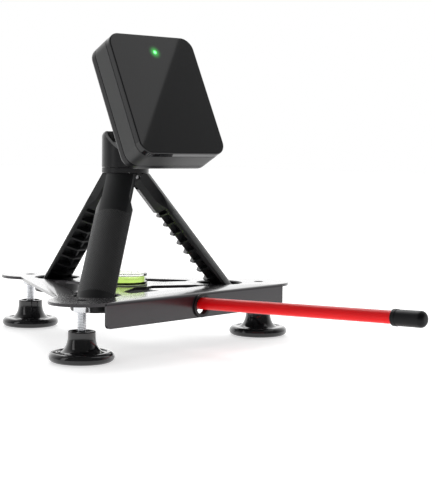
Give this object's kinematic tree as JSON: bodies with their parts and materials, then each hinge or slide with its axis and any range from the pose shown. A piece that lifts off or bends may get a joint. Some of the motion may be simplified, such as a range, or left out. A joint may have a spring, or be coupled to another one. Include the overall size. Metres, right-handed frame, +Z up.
{
  "type": "golf launch monitor",
  "caption": "Radar golf launch monitor on a folding mini tripod, standing in the cups of a triangular levelling plate with screw feet, bubble level and alignment rod.",
  "frame": {"origin": "centre of the bounding box's bottom face, on the floor under the assembly", "axes": "+Z up; the flange, the alignment rod and the radar box face -Y; X is the plate's width"},
  "size_m": [0.2162, 0.368, 0.2099],
  "materials": {
    "plate": "satin gunmetal powder coat",
    "zinc": "bright zinc plate",
    "cup_plastic": "satin moulded",
    "rubber": "matt",
    "guide_plastic": "gloss",
    "level_card": "matt white",
    "vial": "clear acrylic",
    "liquid": "lime green spirit",
    "knob": "polished black",
    "rod": "gloss red",
    "cap": "semi-matt",
    "leg_plastic": "fine spark texture, knurled grip",
    "head_plastic": "fine satin",
    "steel": "plain",
    "seat_plastic": "acetal",
    "wheel": "ribbed",
    "front_gloss": "piano gloss",
    "seam": "matt",
    "band": "soft touch",
    "back": "satin",
    "pipe": "diffusing, lit green",
    "led_body": "white",
    "board": "solder mask",
    "battery_wrap": "wrapped cell",
    "brass": "knurled insert"
  },
  "bodies": {
    "base": {"base_plate": "plate", "press_nuts": "zinc", "cup_front_left": "cup_plastic", "cup_front_right": "cup_plastic", "cup_back": "cup_plastic", "rod_grommet": "rubber", "rod_guide": "guide_plastic", "level_backing": "level_card", "level_vial": "vial", "level_liquid": "liquid"},
    "alignment_rod": {"alignment_rod": "rod", "rod_cap": "cap"},
    "tripod_yoke": {"leg_yoke": "head_plastic", "hinge_pins": "steel", "pan_washer": "steel", "pan_screw": "steel"},
    "head": {"head_shell": "head_plastic", "ball_seat": "seat_plastic", "ball_collar": "seat_plastic"},
    "radar_box": {"ball_stem": "steel", "mount_pad": "rubber", "front_cover": "front_gloss", "front_gasket": "seam", "mid_band": "band", "back_gasket": "seam", "back_cover": "back", "light_pipe": "pipe", "led": "led_body", "antenna_board": "board", "antenna_shield": "steel", "main_board": "board", "battery": "battery_wrap", "thread_insert": "brass", "case_screws": "steel", "button_switch": "seat_plastic", "charging_port": "steel"},
    "thumb_wheel": {"thumb_wheel": "wheel"},
    "power_button": {"power_button": "rubber"},
    "port_flap": {"port_flap": "rubber"},
    "foot_pad_front_left": {"pad_front_left": "rubber"},
    "foot_knob_front_left": {"knob_front_left": "knob", "stud_front_left": "zinc"},
    "leg_front_left": {"leg_front_left": "leg_plastic", "leg_pad_front_left": "rubber"},
    "foot_pad_front_right": {"pad_front_right": "rubber"},
    "foot_knob_front_right": {"knob_front_right": "knob", "stud_front_right": "zinc"},
    "leg_front_right": {"leg_front_right": "leg_plastic", "leg_pad_front_right": "rubber"},
    "foot_pad_back": {"pad_back": "rubber"},
    "foot_knob_back": {"knob_back": "knob", "stud_back": "zinc"},
    "leg_back": {"leg_back": "leg_plastic", "leg_pad_back": "rubber"}
  },
  "joints": [
    {"name": "tripod_lift", "type": "slide", "parent": "base", "child": "tripod_yoke", "axis": [0, 0, 1], "range_m": [0, 0.15]},
    {"name": "leg_front_left_fold", "type": "hinge", "parent": "tripod_yoke", "child": "leg_front_left", "pos_m": [-0.00606, 0.05895, 0.11413], "axis": [0.5, -0.866, 0], "range_deg": [0, 38.2]},
    {"name": "leg_front_right_fold", "type": "hinge", "parent": "tripod_yoke", "child": "leg_front_right", "pos_m": [0.00606, 0.05895, 0.11413], "axis": [0.5, 0.866, 0], "range_deg": [0, 38.2]},
    {"name": "leg_back_fold", "type": "hinge", "parent": "tripod_yoke", "child": "leg_back", "pos_m": [0, 0.06945, 0.11413], "axis": [-1, 0, 0], "range_deg": [0, 38.2]},
    {"name": "head_pan", "type": "hinge", "parent": "tripod_yoke", "child": "head", "pos_m": [0, 0.06245, 0.1329], "axis": [0, 0, 1], "range_deg": [-170, 170]},
    {"name": "head_tilt", "type": "hinge", "parent": "head", "child": "radar_box", "pos_m": [0, 0.06245, 0.1329], "axis": [0.9903, -0.1392, 0], "range_deg": [-35, 15]},
    {"name": "thumb_wheel_turn", "type": "hinge", "parent": "radar_box", "child": "thumb_wheel", "pos_m": [-0.00378, 0.03554, 0.14675], "axis": [0.124, 0.8823, -0.454], "range_deg": [-180, 180]},
    {"name": "power_button_press", "type": "slide", "parent": "radar_box", "child": "power_button", "axis": [-0.9903, 0.1392, 0], "range_m": [0, 0.0006], "stiffness_N_per_m": 800, "springref_m": -0.001},
    {"name": "port_flap_open", "type": "hinge", "parent": "radar_box", "child": "port_flap", "pos_m": [0.02772, 0.0093, 0.14653], "axis": [-0.0632, -0.4496, -0.891], "range_deg": [0, 95]},
    {"name": "foot_front_left_height", "type": "slide", "parent": "base", "child": "foot_pad_front_left", "axis": [0, 0, 1], "range_m": [-0.003, 0.01]},
    {"name": "foot_front_left_screw", "type": "hinge", "parent": "foot_pad_front_left", "child": "foot_knob_front_left", "pos_m": [-0.0866, 0.01245, 0.01], "axis": [0, 0, 1], "range_deg": [-1090, 3610]},
    {"name": "foot_front_right_height", "type": "slide", "parent": "base", "child": "foot_pad_front_right", "axis": [0, 0, 1], "range_m": [-0.003, 0.01]},
    {"name": "foot_front_right_screw", "type": "hinge", "parent": "foot_pad_front_right", "child": "foot_knob_front_right", "pos_m": [0.0866, 0.01245, 0.01], "axis": [0, 0, 1], "range_deg": [-1090, 3610]},
    {"name": "foot_back_height", "type": "slide", "parent": "base", "child": "foot_pad_back", "axis": [0, 0, 1], "range_m": [-0.003, 0.01]},
    {"name": "foot_back_screw", "type": "hinge", "parent": "foot_pad_back", "child": "foot_knob_back", "pos_m": [0, 0.16245, 0.01], "axis": [0, 0, 1], "range_deg": [-1090, 3610]},
    {"name": "rod_pull_out", "type": "slide", "parent": "base", "child": "alignment_rod", "axis": [0, -0.9995, 0.0332], "range_m": [0, 0.06]}
  ],
  "couplings": [
    {"joint": "leg_front_left_fold", "follows": "tripod_lift", "rad_per_m": 4.44},
    {"joint": "leg_front_right_fold", "follows": "tripod_lift", "rad_per_m": 4.44},
    {"joint": "leg_back_fold", "follows": "tripod_lift", "rad_per_m": 4.44},
    {"joint": "foot_front_left_screw", "follows": "foot_front_left_height", "rad_per_m": 6283.2},
    {"joint": "foot_front_right_screw", "follows": "foot_front_right_height", "rad_per_m": 6283.2},
    {"joint": "foot_back_screw", "follows": "foot_back_height", "rad_per_m": 6283.2}
  ]
}
